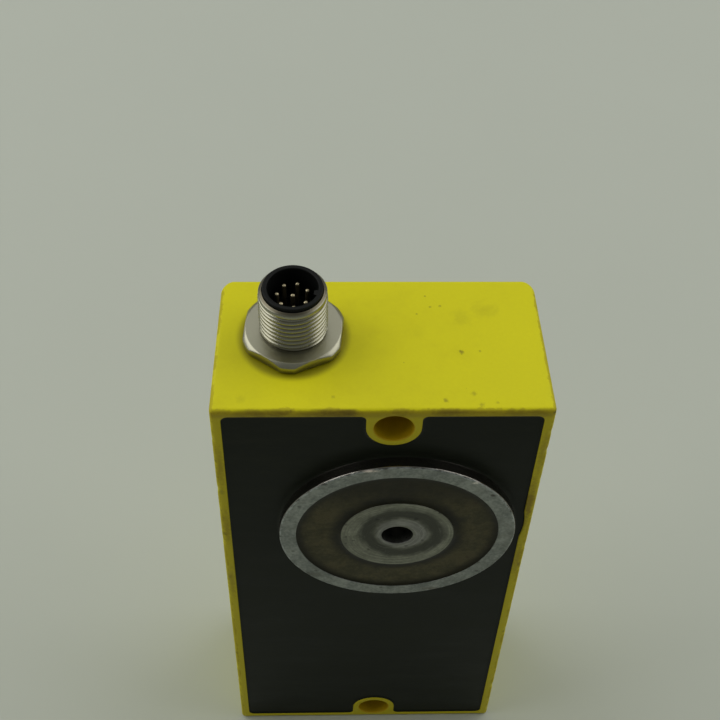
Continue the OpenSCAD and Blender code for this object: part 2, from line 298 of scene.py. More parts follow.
def noise(vector, scale, detail=2.0, roughness=0.5, distortion=0.0):
    inputs = dict(Vector=vector, Scale=scale, Detail=detail, Roughness=roughness, Distortion=distortion)
    return put("ShaderNodeTexNoise", inputs, "Fac")


def split(vector):
    x = put("ShaderNodeSeparateXYZ", {0: vector})
    return x, x.at(1), x.at(2)


def joined(x, y, z):
    return put("ShaderNodeCombineXYZ", {0: x, 1: y, 2: z})


def stretch(vector, scale, turn=(0.0, 0.0, 0.0)):
    return put("ShaderNodeMapping", dict(Vector=vector, Scale=scale, Rotation=turn))


def sharedEffect(name, vectors, numbers, outputs, build):
    # Makes a node group and hands back a function that puts it to use, its inputs in their order.
    group = bpy.data.node_groups.new(name, "ShaderNodeTree")
    rows = (("INPUT", "Vector", vectors), ("INPUT", "Float", numbers), ("OUTPUT", "Float", outputs))
    for way, kind, labels in rows:
        for label in labels.split():
            group.interface.new_socket(label, in_out=way, socket_type="NodeSocket" + kind)
    given = [Value(s) for s in group.nodes.new("NodeGroupInput").outputs if s.name]
    result = group.nodes.new("NodeGroupOutput").inputs
    for socket, value in zip(result, build(*given)):
        connect(socket, value)
    return lambda *values: put("ShaderNodeGroup", dict(enumerate(values)), node_tree=group)


def mottleNodes(position, scale, fineScale, fineShare):
    # cloudy variation, coarse plus fine, between 0 and 1
    coarse, fine = noise(position, scale, 5.0, 0.6), noise(position, fineScale, 3.0, 0.65)
    return put("ShaderNodeMix", {0: fineShare, 2: coarse, 3: fine}, data_type="FLOAT"), fine


def speckNodes(position, scale, size, share):
    # small ragged spots: cells whose random number is high, out to a random size
    ragged = noise(position, scale * 4.0)
    cells = put("ShaderNodeTexVoronoi", dict(Vector=position, Scale=scale), "Distance")
    chance = put("ShaderNodeSeparateColor", {0: cells.at("Color")})
    chosen = maths("GREATER_THAN", chance, 1.0 - share)
    away = cells * (0.6 + ragged)
    return [remap(away / (size * (0.35 + chance.at(1))), 1.0, 0.6) * chosen]


def wearNodes(position, away, reach, scale, amount):
    # ragged mask that is strong where the distance is small and fades out at the reach
    near = maths("SUBTRACT", 1.0, away / reach, clamp=True)
    level = near * 0.55 + noise(position, scale, 6.0, 0.7)
    threshold = 1.1 - amount * 0.6
    return [remap(level, threshold, threshold + 0.12) * maths("GREATER_THAN", near, 0.0)]


def scratchNodes(position, scale, width, amount):
    # thin lines where a stretched noise crosses its middle, kept only in some patches
    off = maths("ABSOLUTE", noise(position, scale, 1.0, distortion=0.2) - 0.5)
    patches = noise(position, scale * 0.6)
    return [remap(off / width, 1.0, 0.3) * remap(patches, 0.75 - amount * 0.4, 0.8)]


def blotNodes(position, centre, scaling, radius):
    # One ragged blot: the offset from the centre, scaled and divided by the radius, is roughened
    # by noise; the mask fades softly from the middle outwards.
    offset = put("ShaderNodeVectorMath", {0: position, 1: centre}, operation="SUBTRACT")
    scaled = put("ShaderNodeVectorMath", {0: offset, 1: scaling}, operation="MULTIPLY")
    away = put("ShaderNodeVectorMath", {0: scaled}, "Value", operation="LENGTH")
    rough = noise(position, 1.3 / radius, 5.0, 0.65) - 0.5
    return [remap(away / radius + rough * 2.0, 1.15, 0.1)]


mottle = sharedEffect("mottle", "Position", "Scale FineScale FineShare", "Value Fine", mottleNodes)
specksOn = sharedEffect("specks", "Position", "Scale Size Share", "Mask", speckNodes)
edgeWear = sharedEffect("edgeWear", "Position", "Distance Reach Scale Amount", "Mask", wearNodes)
scratches = sharedEffect("scratches", "Position", "Scale Width Amount", "Mask", scratchNodes)
blot = sharedEffect("blot", "Position Centre Stretch", "Radius", "Mask", blotNodes)


def startMaterial(name):
    # a new material, and the position in the object's own frame
    material = bpy.data.materials.new(name)
    material.use_nodes = True
    return material, Value(material.node_tree.nodes.new("ShaderNodeTexCoord").outputs["Object"])


def finish(material, colour, roughness, bump=None, **others):
    # Feeds the shader. The bump is a height, a distance in metres and a strength; underscores in
    # the other keywords stand for spaces.
    inputs = {"Base Color": colour, "Roughness": roughness, **others}
    if bump:
        inputs["Normal"] = put("ShaderNodeBump", dict(zip(("Height", "Distance", "Strength"), bump)))
    shader = material.node_tree.nodes["Principled BSDF"]
    for key, value in inputs.items():
        connect(shader.inputs[key.replace("_", " ")], value)
    return material


print("tools ready")

# housing: drafted tub with a rounded back, two screw tubes and its inner posts
housingLow, housingHigh = cornersOf("housing")
capHigh = cornersOf("potting_cap")[1]
labelLow, labelHigh = cornersOf("rating_label")
potLow, potHigh = cornersOf("magnet_pot")
magnetX, magnetZ = (potLow[0] + potHigh[0]) / 2, (potLow[2] + potHigh[2]) / 2

tub = dict(
    rim=housingLow[1],
    back=housingHigh[1],
    height=housingHigh[2],
    frontHalf=housingHigh[0],
    backHalf=28.3,
    sideWall=1.88,
    endWall=1.7,
    backWall=2.0,
    roomRadius=24.0,
    frontEdge=0.9,
    innerEdge=0.22,
    cornerEdge=0.8,
    backEdge=2.7,
    backEndEdge=0.8,
    innerCorner=1.3,
    bossFillet=1.1,
    holeX=1.95,
    holeInset=5.0,
    holeRadius=3.4,
    holeEdge=0.3,
    bossRadius=4.8,
    postX=21.5,
    postZ=(15, 54),
    postRadius=2.6,
    postTop=5.6,
    postBore=1.0,
    padRadius=8,
    screwBore=2.6,
    sinkRadius=5,
    labelPlay=0.1,
    labelRecess=0.3,
    labelCorner=0.5,
    openingRadius=7.1,
    openingDepth=4,
    sealBed=0.3,
    windowReach=(24, 34),
)
draft = math.atan((tub["frontHalf"] - tub["backHalf"]) / (tub["back"] - tub["rim"]))
holeHeights = (tub["holeInset"], tub["height"] - tub["holeInset"])


def halfWidth(y):
    # the side walls lean in at a constant angle from the rim to the back
    return tub["frontHalf"] - (y - tub["rim"]) * math.tan(draft)


def denseLoop(loop, arcPoints, counts):
    # puts counts[k] evenly spaced points into the straight run that follows corner k
    arcs = loop.reshape(-1, arcPoints, 2)
    runs = []
    for k, count in enumerate(counts):
        share = (np.arange(count)[:, None] + 1) / (count + 1)
        ahead = arcs[(k + 1) % len(arcs)]
        runs += [arcs[k], arcs[k][-1] + (ahead[0] - arcs[k][-1]) * share]
    return np.concatenate(runs)


def wallLoop(y, sideInset, endInset):
    # rectangle of the outer walls at depth y, set in by the two insets
    half = halfWidth(y) - sideInset
    low, high = endInset, tub["height"] - endInset
    radius = max(tub["cornerEdge"] - min(sideInset, endInset), 0.1)
    corners = [(-half, low), (half, low), (half, high), (-half, high)]
    return denseLoop(filletLoop([(x, z, radius) for x, z in corners], 6), 7, (90, 200, 110, 200))


# small dents all round the front edge, then single knocks: place in the loop, depth, width
dents = dict(seed=11, count=60, depth=(0.03, 0.20), width=(0.2, 0.9), reach=1.4, spacing=0.55)
knocks = [(285, 0.30, 0.7), (466, 0.26, 0.8), (440, 0.20, 0.4), (478, 0.16, 0.5)]


def outerLoop(y, sideInset, endInset):
    # Near the rim each dent moves the wall in by a bell curve of the way round, times its depth.
    loop = wallLoop(y, sideInset, endInset)
    near = np.clip(1 - (y - tub["rim"]) / dents["reach"], 0, 1)
    dice = np.random.default_rng(dents["seed"])
    places = dice.uniform(0, len(loop), dents["count"])
    shallow, deepest = dents["depth"]
    depths = dice.uniform(0, 1, dents["count"]) ** 3 * (deepest - shallow) + shallow
    widths = dice.uniform(*dents["width"], dents["count"])
    where, deep, wide = np.array(knocks).T
    places, depths = np.append(places, where), np.append(depths, deep)
    widths = np.append(widths, wide) / dents["spacing"]
    steps = np.arange(len(loop))[:, None]
    move = (depths * np.exp(-((steps - places) / widths) ** 2)).sum(1) * near
    inward = wallLoop(y, sideInset + 1, endInset + 1) - loop
    return atDepth(loop + inward * move[:, None], y)


def cavityLoop(y, inset):
    # Inside outline at depth y, set in by inset, with a U-shaped notch round each screw tube.
    # Beside the magnet the right wall is hollowed by an arc round the magnet's axis.
    half = halfWidth(y) - tub["sideWall"] / math.cos(draft) - inset
    low, high = tub["endWall"] + inset, tub["height"] - tub["endWall"] - inset
    boss = tub["bossRadius"] + inset
    left, right = tub["holeX"] - boss, tub["holeX"] + boss
    bottom, top = holeHeights[0] + boss, holeHeights[1] - boss
    corner = max(tub["innerCorner"] - inset, 0.05)
    fillet = max(tub["bossFillet"] - inset, 0.05)
    turn = boss * 0.998
    corners = [
        (-half, low, corner), (left, low, fillet), (left, bottom, turn), (right, bottom, turn),
        (right, low, fillet), (half, low, corner), (half, high, corner), (right, high, fillet),
        (right, top, turn), (left, top, turn), (left, high, fillet), (-half, high, corner)]
    loop = filletLoop(corners, 9)
    room = tub["roomRadius"] - (y - tub["rim"]) * math.tan(draft) - inset
    spread = math.acos((half - magnetX) / room)
    angle = np.linspace(-spread, spread, 17)
    hollow = np.stack([magnetX + room * np.cos(angle), magnetZ + room * np.sin(angle)], -1)
    return atDepth(np.concatenate([loop[:60], hollow, loop[60:]]), y)


def quarter(steps):
    # angles of a quarter turn
    return np.linspace(0, math.pi / 2, steps + 1)


def rounding(size, steps):
    # a rounded edge as pairs: how far below the face, how far in from the side, from side to face
    return [(size * (1 - math.sin(a)), size * (1 - math.cos(a))) for a in quarter(steps)]


def disc(x, z, radius, y, count=48):
    # a ring of points round an axis along y
    return atDepth(circleLoop(x, z, radius, count), y)


def makeHousing():
    # Bands follow each rounded edge and wall; flat faces fill the loops between them.
    rim, back = tub["rim"], tub["back"]
    floor = back - tub["backWall"]
    shell = Shell()
    # outer wall: front edge, drafted side, then the back edge, rounder at the sides than at the ends
    front, side, end = tub["frontEdge"], tub["backEdge"], tub["backEndEdge"]
    rows = [outerLoop(rim + down, inset, inset) for down, inset in rounding(front, 4)[::-1]]
    levels = sorted({*(back - side + side * np.sin(quarter(9))), *(back - end + end * np.sin(quarter(4)))})
    for y in levels:
        sideDip = side - math.sqrt(max(side ** 2 - max(y - back + side, 0) ** 2, 0))
        endDip = end - math.sqrt(max(end ** 2 - max(y - back + end, 0) ** 2, 0))
        rows.append(outerLoop(y, sideDip, endDip))
    shell.band(rows)
    outerFront, outerBack = rows[0], rows[-1]
    # inner edge of the rim and the inside wall
    rows = [cavityLoop(rim + down, -inset) for down, inset in rounding(tub["innerEdge"], 3)[::-1]]
    rows.append(cavityLoop(floor, 0))
    shell.band(rows)
    innerFront, innerFloor = rows[0], rows[-1]
    # through holes with a small radius at both mouths
    edge, radius = tub["holeEdge"], tub["holeRadius"]
    mouths = []
    for z in holeHeights:
        ring = [(rim + down, radius + out) for down, out in rounding(edge, 3)[::-1]]
        ring += [(back - down, radius + out) for down, out in rounding(edge, 3)]
        rows = [disc(tub["holeX"], z, r, y, 64) for y, r in ring]
        shell.band(rows)
        mouths.append((rows[0], rows[-1]))
    shell.face(outerFront, [innerFront] + [m[0] for m in mouths])
    # label recess, countersink and screw bore through the pad
    recess = back - tub["labelRecess"]
    play = tub["labelPlay"]
    frameCorners = [(labelLow[0] - play, labelLow[2] - play), (labelHigh[0] + play, labelLow[2] - play),
                    (labelHigh[0] + play, labelHigh[2] + play), (labelLow[0] - play, labelHigh[2] + play)]
    label = filletLoop([(x, z, tub["labelCorner"]) for x, z in frameCorners], 4)
    shell.band([atDepth(label, back), atDepth(label, recess)])
    shell.face(outerBack, [m[1] for m in mouths] + [atDepth(label, back)])
    bore = [(recess, tub["sinkRadius"]), (recess - tub["sinkRadius"] + tub["screwBore"], tub["screwBore"]),
            (potHigh[1], tub["screwBore"])]
    rows = [disc(magnetX, magnetZ, r, y) for y, r in bore]
    shell.band(rows)
    shell.face(atDepth(label, recess), [rows[0]])
    pad = [disc(magnetX, magnetZ, tub["padRadius"], y) for y in (floor, potHigh[1])]
    shell.band(pad)
    shell.face(pad[1], [rows[-1]])
    # posts of the main board
    feet = []
    for x in (-tub["postX"], tub["postX"]):
        for z in tub["postZ"]:
            post = [disc(x, z, tub["postRadius"], y, 24) for y in (floor, tub["postTop"])]
            bore = [disc(x, z, tub["postBore"], y, 24) for y in (tub["postTop"], floor - 1)]
            shell.band(post)
            shell.face(post[1], [bore[0]])
            shell.band(bore)
            shell.face(bore[1])
            feet.append(post[0])
    shell.face(innerFloor, feet + [pad[0]])
    piece = shell.build("tub_housing")
    # opening for the connector, with the groove of its seal, and the two light windows
    sealLow, sealHigh = cornersOf("flange_o_ring")
    top, groove = tub["height"], (sealHigh[0] - sealLow[0]) / 2
    low, step, high = top - tub["openingDepth"], top - (sealHigh[2] - sealLow[2]) + tub["sealBed"], top + 2
    bore = tub["openingRadius"]
    profile = [(0, low), (bore, low), (bore, step), (groove, step), (groove, high), (0, high)]
    cut(piece, lathe("opening", profile, (plug["x"], plug["y"], 0), "Z", 96, closed=False))
    pipeLow, pipeHigh = cornersOf("light_pipes")
    pipeRadius = (pipeHigh[1] - pipeLow[1]) / 2
    for z in (pipeLow[2] + pipeRadius, pipeHigh[2] - pipeRadius):
        centre = (0, (pipeLow[1] + pipeHigh[1]) / 2, z)
        near, far = tub["windowReach"]
        profile = [(0, near), (pipeRadius, near), (pipeRadius, far), (0, far)]
        cut(piece, lathe("window", profile, centre, "X", 32, closed=False))
    return piece


# the connector's sizes, which the painted shadow round its flange needs too; it is built further down
shellLow, shellHigh = cornersOf("connector_shell")
insertLow, insertHigh = cornersOf("connector_insert")
plug = dict(
    x=(insertLow[0] + insertHigh[0]) / 2,
    y=(insertLow[1] + insertHigh[1]) / 2,
    columns=192,
    flat=8.5,
    cornerRadius=9.15,
    turn=24,
    flangeLow=tub["height"] + 0.3,
    flangeHigh=tub["height"] + 2.2,
    chamferFrom=8.4,
    chamferSlope=math.tan(math.radians(38)),
    neckHeight=0.05,
    major=5.97,
    depth=0.36,
    pitch=1.0,
    perTurn=14,
    threadHigh=tub["height"] + 10.4,
    plain=5.86,
    bore=5.25,
    topEdge=0.42,
    tail=7.0,
    tailDepth=0.5,
)

# dirt on the top end: x, y, radius, strength
blots = [
    (13.95, -1.04, 0.60, 0.7), (10.55, -11.69, 0.55, 0.5), (15.40, -10.21, 0.60, 0.35),
    (16.60, -12.60, 0.60, 0.35), (19.30, -12.20, 0.40, 0.3), (9.07, 9.47, 0.30, 0.5),
    (10.88, 9.71, 0.34, 0.5),
    (8.30, 12.10, 0.25, 0.5), (6.60, 7.80, 0.25, 0.5), (17.20, -0.83, 0.28, 0.5), (-8.46, -10.87, 0.40, 0.35),
    (-24.0, -11.20, 1.0, 0.12), (18.86, 8.50, 2.6, 0.13), (14.60, 7.00, 2.2, 0.11), (6.5, 3.2, 1.8, 0.05)]
# grime on the front edges: x, z, radius, strength
smudges = [
    (-23.5, 119.5, 2.2, 0.25), (-20.5, 119.4, 2.0, 0.40), (-17.6, 119.4, 1.6, 0.35), (-15.7, 119.9, 0.7, 0.8),
    (-12.0, 119.4, 2.0, 0.30), (-8.6, 119.4, 2.4, 0.55), (-5.9, 119.4, 1.9, 0.60), (2.7, 119.6, 1.9, 0.2),
    (10.8, 119.5, 2.2, 0.45), (14.0, 119.7, 1.5, 0.25), (22.5, 119.4, 2.2, 0.3), (26.2, 119.5, 1.8, 0.3)]
# long brown rubs on the side rims: x, z, radius, strength
tints = [(28.0, 92.0, 1.1, 0.7), (28.1, 72.0, 0.9, 0.45), (28.3, 108.0, 0.8, 0.35), (-28.2, 104.0, 0.9, 0.4),
         (-28.1, 84.0, 0.9, 0.45), (-28.2, 64.0, 0.8, 0.35)]
# knocks on the long edges: x, z, radius, strength
scuffs = [
    (29.2, 119.4, 0.8, 1.0), (28.9, 112.0, 0.7, 0.25), (-29.2, 105.5, 0.5, 0.9),
    (-29.2, 100.6, 0.5, 0.8), (-29.1, 89.5, 0.5, 0.8), (-28.6, 96.0, 1.0, 0.35), (-28.8, 82.0, 0.8, 0.4),
    (28.9, 70.0, 0.9, 0.4), (-28.8, 66.0, 0.9, 0.35), (29.0, 42.0, 0.7, 0.5), (-29.0, 33.0, 0.7, 0.5)]


def tintedBlot(position, centre, radius, amount, tint, scaling=(1.0, 1.0, 1.0)):
    # a blot of a tint as a layer to paint, its centre and radius in millimetres
    return blot(position, [c * mm for c in centre], scaling, radius * mm) * amount, tint


def yellowPlastic():
    # Moulded plastic: fine grain, faint clouds, dirt specks, and scuffs along the edges.
    # The rim face and the insides of the tubes are tinted darker and more orange as painted shade, and a
    # painted shadow rings the flange.
    material, position = startMaterial("yellow_plastic")
    x, y, z = split(position)
    rim, top = tub["rim"], tub["height"]
    clouds = mottle(position, 70.0, 1500.0, 0.5)
    broad = mottle(position, 28.0, 240.0, 0.35)
    inFront = y - rim * mm
    fromSide = tub["frontHalf"] * mm - inFront * math.tan(draft) - maths("ABSOLUTE", x)
    fromTop = top * mm - z
    fromEnd = maths("MINIMUM", fromTop, z)
    alongFront = distance(inFront, maths("MINIMUM", fromEnd, fromSide))
    edge = maths("MINIMUM", alongFront, distance(fromEnd, fromSide))
    worn = edgeWear(position, edge, 0.0013, 260.0, 0.56)
    nicks = edgeWear(position, edge, 0.0007, 900.0, 0.36)
    onRim = remap(inFront, 0.00045, 0.00005)
    holes = [distance(x - tub["holeX"] * mm, z - middle * mm) for middle in holeHeights]
    inHole = remap(maths("MINIMUM", *holes), (tub["holeRadius"] + 0.35) * mm, tub["holeRadius"] * mm)
    # painted shadow round the flange: a soft dark disc, its centre a little towards the front
    fromPlug = distance(x - plug["x"] * mm, y - (plug["y"] - 0.45) * mm)
    flangeShadowPaint = remap(fromPlug, 0.0104, 0.0088) * remap(fromTop, 0.0004, 0.0001)
    nearFace = remap(inFront, 0.00075, 0.00030)
    grime, mud = (0.085, 0.060, 0.012), (0.13, 0.085, 0.012)
    base = paint(
        blend(clouds, (0.640, 0.595, 0.0030), (0.745, 0.695, 0.0065)),
        (remap(broad, 0.50, 0.68, 0.0, 0.22), (0.52, 0.45, 0.004)),
        # painted shade: the rim face tinted darker and more orange than the outside
        (onRim * 0.65, (0.50, 0.385, 0.010)),
        # darker along the top of the rim face: partly painted shade, partly grime
        (onRim * remap(fromTop, 0.0024, 0.0012) * 0.45, (0.30, 0.195, 0.012)),
        # painted shade inside the screw tubes: darker and more orange
        (inHole * 0.85, (0.46, 0.27, 0.002)),
        (worn * 0.40, (0.27, 0.185, 0.02)),
        (nicks * 0.5, grime),
        (specksOn(position, 210.0, 0.13, 0.03) * 0.5, grime),
        (specksOn(position, 520.0, 0.22, 0.02) * 0.3, grime),
        *(tintedBlot(position, (u, v, top), r, amount, (0.10, 0.075, 0.012)) for u, v, r, amount in blots),
        # painted shadow round the flange
        (flangeShadowPaint * 0.62, (0.11, 0.080, 0.004)),
        *(tintedBlot(position, (u, rim, w), r, nearFace * (amount * 1.2), mud, (0.75, 1.3, 1.3))
          for u, w, r, amount in smudges),
        *(tintedBlot(position, (u, rim, w), r, amount, (0.22, 0.125, 0.012), (1.0, 1.0, 0.12))
          for u, w, r, amount in tints),
        *(tintedBlot(position, (u, rim, w), r, amount, grime) for u, w, r, amount in scuffs))
    rough = remap(clouds, 0.3, 0.7, 0.46, 0.58) + worn * 0.2
    bump = (clouds.at("Fine") - nicks * 0.8, 0.00005, 0.4)
    return finish(material, base, rough, bump, Specular_IOR_Level=0.22)


dress(makeHousing(), "housing", yellowPlastic())
print("housing made")

# dark resin: flat, a little below the rim, creeping up every wall that it meets
resin = dict(
    surface=tub["rim"] + 0.36,
    climb=0.24,
    creep=0.22,
    insets=(0, 0.05, 0.12, 0.22, 0.36, 0.52, 0.7),
    antennaRadius=14,
)
antennaLow, antennaHigh = cornersOf("antenna_former")


def resinHeight(inset):
    # the surface falls away from a wall exponentially
    return resin["surface"] - resin["climb"] * math.exp(-inset / resin["creep"])


def makeResin():
    shell = Shell()
    rows = [cavityLoop(resinHeight(e), e) for e in resin["insets"]]
    potRadius = (potHigh[0] - potLow[0]) / 2
    ring = [disc(magnetX, magnetZ, potRadius + e, resinHeight(e), 160) for e in resin["insets"]]
    shell.band(rows)
    shell.band(ring)
    shell.face(rows[-1], [ring[-1]])
    under = capHigh[1]
    outside, inside = cavityLoop(under, 0), disc(magnetX, magnetZ, potRadius, under, 160)
    shell.band([rows[0], outside])
    shell.band([ring[0], inside])
    x, z = (antennaLow[0] + antennaHigh[0]) / 2, (antennaLow[2] + antennaHigh[2]) / 2
    pocket = [disc(x, z, resin["antennaRadius"], y, 96) for y in (under, antennaLow[1])]
    shell.face(outside, [inside, pocket[0]])
    shell.band(pocket)
    shell.face(pocket[1])
    return shell.build("dark_resin")


def darkResin():
    # near-black resin with slow waves, greasy clouds, faint dust and a few pale grains
    material, position = startMaterial("dark_resin")
    clouds = mottle(position, 60.0, 900.0, 0.3)
    wipes = mottle(stretch(position, (0.35, 1.0, 1.6), (0.0, 0.3, 0.0)), 130.0, 1100.0, 0.25)
    base = paint(
        blend(clouds, (0.0050, 0.0066, 0.0034), (0.0110, 0.0138, 0.0080)),
        (remap(wipes, 0.46, 0.70, 0.0, 0.8), (0.0165, 0.0190, 0.0120)),
        (specksOn(position, 1100.0, 0.16, 0.04) * 0.10, (0.10, 0.10, 0.085)),
        (specksOn(position, 300.0, 0.07, 0.02) * 0.3, (0.16, 0.15, 0.12)))
    bump = (noise(position, 55.0) + clouds.at("Fine") * 0.05, 0.0004, 0.3)
    return finish(material, base, remap(wipes, 0.3, 0.7, 0.30, 0.48), bump, Specular_IOR_Level=0.10)


dress(makeResin(), "potting_cap", darkResin())
print("resin made")

# pot magnet: ring, inner pole and the amber resin between them
coreLow, coreHigh = cornersOf("magnet_core")
coilLow, coilHigh = cornersOf("coil_resin")
magnet = dict(
    face=potLow[1],
    potRadius=(potHigh[0] - potLow[0]) / 2,
    ringInside=(coilHigh[0] - coilLow[0]) / 2,
    poleRadius=(coreHigh[0] - coreLow[0]) / 2,
    poleHole=2.55,
    poleMouth=2.95,
    mouthEnd=-5.0,
    screwBore=2.6,
    outerEdge=0.38,
    innerEdge=0.14,
    poleEdge=0.16,
    holeEdge=0.15,
    leadHole=(-10.6, -10.6, 1.9),
    resinDip=0.42,
    resinClimb=0.30,
    resinCreep=0.45,
)
magnetCentre = (magnetX, 0, magnetZ)


def makePot():
    # steel cup: a rounded cross-section carried round the magnet's axis
    m = magnet
    section = [
        (m["ringInside"], m["face"], m["innerEdge"]), (m["ringInside"], coreHigh[1], 0.1),
        (m["screwBore"], coreHigh[1], 0.05), (m["screwBore"], potHigh[1], 0.2),
        (m["potRadius"], potHigh[1], 0.5), (m["potRadius"], m["face"], m["outerEdge"])]
    piece = lathe("magnet_ring_pot", filletLoop(section, 5), magnetCentre, "Y", 192)
    dx, dz, radius = m["leadHole"]
    spot = (magnetX + dx, 0, magnetZ + dz)
    profile = [(0, coreHigh[1] - 2), (radius, coreHigh[1] - 2), (radius, potHigh[1] + 2), (0, potHigh[1] + 2)]
    cut(piece, lathe("leadHole", profile, spot, "Y", 32, closed=False))
    return piece


def makePole():
    m = magnet
    section = [
        (m["poleMouth"], m["face"], m["holeEdge"]), (m["poleMouth"], m["mouthEnd"], 0.05),
        (m["poleHole"], m["mouthEnd"], 0.05), (m["poleHole"], coreHigh[1], 0.1),
        (m["poleRadius"], coreHigh[1], 0.1), (m["poleRadius"], m["face"], m["poleEdge"])]
    return lathe("magnet_pole", filletLoop(section, 5), magnetCentre)


def makeCoilResin():
    # ring of resin whose face sags between the pole and the ring, by two exponentials
    m = magnet
    radius = np.linspace(m["poleRadius"], m["ringInside"], 33)
    climb = np.exp(-(radius - m["poleRadius"]) / m["resinCreep"])
    climb = climb + np.exp(-(m["ringInside"] - radius) / m["resinCreep"])
    face = np.stack([radius, m["face"] + m["resinDip"] - m["resinClimb"] * climb], -1)
    under = [(m["ringInside"], coilHigh[1]), (m["poleRadius"], coilHigh[1])]
    return lathe("coil_cover_resin", np.concatenate([face, under]), magnetCentre, "Y", 160)


def fromMagnet(position):
    # the offsets from the magnet's axis, to the right and upwards
    x, _, z = split(position)
    return x - magnetX * mm, z - magnetZ * mm


def steelParts(name):
    # what both steel faces share: the place round the magnet's axis, clouds, broad clouds and pits
    material, position = startMaterial(name)
    clouds = mottle(position, 260.0, 1500.0, 0.45)
    broad = mottle(position, 75.0, 420.0, 0.4)
    pits = specksOn(position, 700.0, 0.30, 0.12)
    return material, position, *fromMagnet(position), clouds, broad, pits


# marks on the ring and one painted glint: x, z, radius, strength, tint, stretch
soot = (0.05, 0.047, 0.04)
ringMarksAndGlint = [
    (-10.0, 101.8, 0.7, 0.95, soot, (1.0, 1.0, 1.0)),
    (-12.0, 70.5, 2.6, 0.5, (0.09, 0.085, 0.065), (1.0, 1.0, 2.0)),
    # a painted glint: a pale streak for the highlight on the outer edge near the top
    (-2.3, 105.65, 1.5, 1.0, (1.0, 0.86, 0.78), (0.8, 1.0, 3.0)),
    (17.2, 101.8, 0.9, 0.9, (0.85, 0.80, 0.75), (1.0, 1.0, 2.0)),
    (20.5, 97.8, 0.6, 0.9, soot, (1.0, 1.0, 1.0)),
    (11.5, 64.6, 1.6, 0.5, (0.10, 0.070, 0.045), (0.7, 1.0, 2.0))]


def ringSteel():
    # ground ring, bluish and blotchy, bright where its outer edge is rubbed, with a painted glint near the
    # top of that edge; a polished side wall
    m = magnet
    material, position, across, along, clouds, broad, pits = steelParts("ground_steel_ring")
    lines = scratches(stretch(position, (1.0, 1.0, 9.0), (0.0, 0.35, 0.0)), 260.0, 0.03, 0.7)
    onFace = remap(split(position)[1], (m["face"] + 0.30) * mm, (m["face"] + 0.05) * mm)
    fromEdge = maths("ABSOLUTE", distance(across, along) - m["potRadius"] * mm)
    rubbed = edgeWear(position, fromEdge, 0.0008, 800.0, 0.5)
    nicks = edgeWear(position, fromEdge, 0.0009, 420.0, 0.28)
    base = paint(
        blend(remap(clouds, 0.36, 0.64), (0.165, 0.180, 0.170), (0.345, 0.362, 0.335)),
        (remap(broad, 0.48, 0.66, 0.0, 0.55), (0.135, 0.140, 0.120)),
        (lines * 0.25, (0.42, 0.44, 0.44)),
        (pits * 0.55, (0.070, 0.068, 0.060)),
        (rubbed * 0.6, (0.50, 0.53, 0.54)),
        (nicks * 0.8, soot),
        # the ring's marks, with the painted glint among them
        *(tintedBlot(position, (u, m["face"], w), *mark) for u, w, *mark in ringMarksAndGlint))
    base = blend(onFace, (0.30, 0.28, 0.25), base)
    rough = blend(onFace, (0.20, 0.20, 0.20), remap(clouds, 0.3, 0.7, 0.36, 0.52))
    bump = ((clouds.at("Fine") + lines * 0.5 - nicks * 2.0) * onFace, 0.00004, 0.45)
    return finish(material, base, rough, bump, Metallic=1.0)


def poleSteel():
    # The pole is rubbed dark in a band round its axis and stays bright outside it and by the hole.
    # Fine arcs come from noise of the radius, drawn out along the turn.
    material, position, across, along, clouds, broad, pits = steelParts("ground_steel_pole")
    radius, turn = distance(across, along), maths("ARCTAN2", along, across)
    lean = maths("COSINE", turn - 0.7) * -0.11
    share = radius / (magnet["poleRadius"] * mm) + (broad - 0.5) * 0.42 + lean
    band = remap(share, 0.36, 0.56) * remap(share, 0.84, 0.66)
    inner = remap(share, 0.15, 0.25) * remap(share, 0.50, 0.36)
    arcs = noise(joined(radius, turn * 0.0005, 0.0), 2300.0, 4.0, 0.6)
    marks = scratches(position, 330.0, 0.008, 0.75)
    base = paint(
        blend(remap(clouds, 0.36, 0.64), (0.190, 0.195, 0.150), (0.325, 0.330, 0.265)),
        (band * 0.88, (0.058, 0.060, 0.048)),
        (inner * 0.55, (0.300, 0.295, 0.300)),
        (remap(arcs, 0.40, 0.65, 0.38, 0.0), (0.055, 0.055, 0.050)),
        (remap(arcs, 0.58, 0.75, 0.0, 0.25), (0.36, 0.36, 0.35)),
        (marks * (0.15 + remap(across, 0.0024, 0.0040) * inner), (0.48, 0.48, 0.48)),
        (pits * 0.5, (0.045, 0.045, 0.040)))
    rough = remap(clouds, 0.3, 0.7, 0.36, 0.52) + band * 0.10
    bump = (clouds.at("Fine") * 0.6 + arcs * 0.8, 0.00004, 0.45)
    return finish(material, base, rough, bump, Metallic=1.0)


